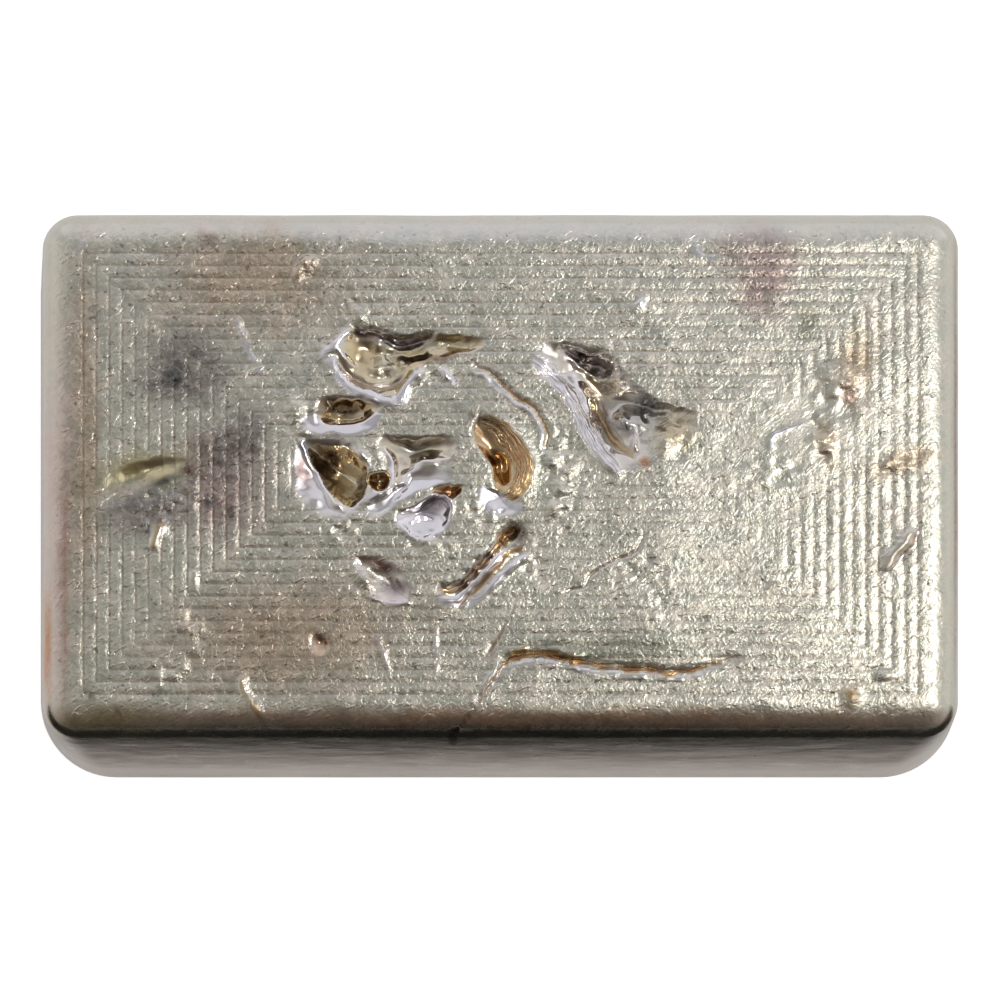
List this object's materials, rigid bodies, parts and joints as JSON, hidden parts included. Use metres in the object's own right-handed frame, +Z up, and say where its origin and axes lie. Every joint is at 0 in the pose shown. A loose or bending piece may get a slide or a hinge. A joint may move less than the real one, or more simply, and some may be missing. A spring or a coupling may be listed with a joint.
{
  "type": "metal ingot",
  "caption": "Cast rectangular metal ingot with drafted walls, a rounded upper edge, ringed mould marks and frozen gas cavities; it lies on its wide flat face.",
  "frame": {"origin": "centre of the open-cast face that the ingot rests on", "axes": "+X along the length, +Y across the width, +Z up through the face with the mould marks"},
  "size_m": [0.095, 0.0582, 0.0215],
  "materials": {
    "cast_metal": "satin"
  },
  "bodies": {
    "root": {"ingot": "cast_metal"}
  },
  "joints": []
}
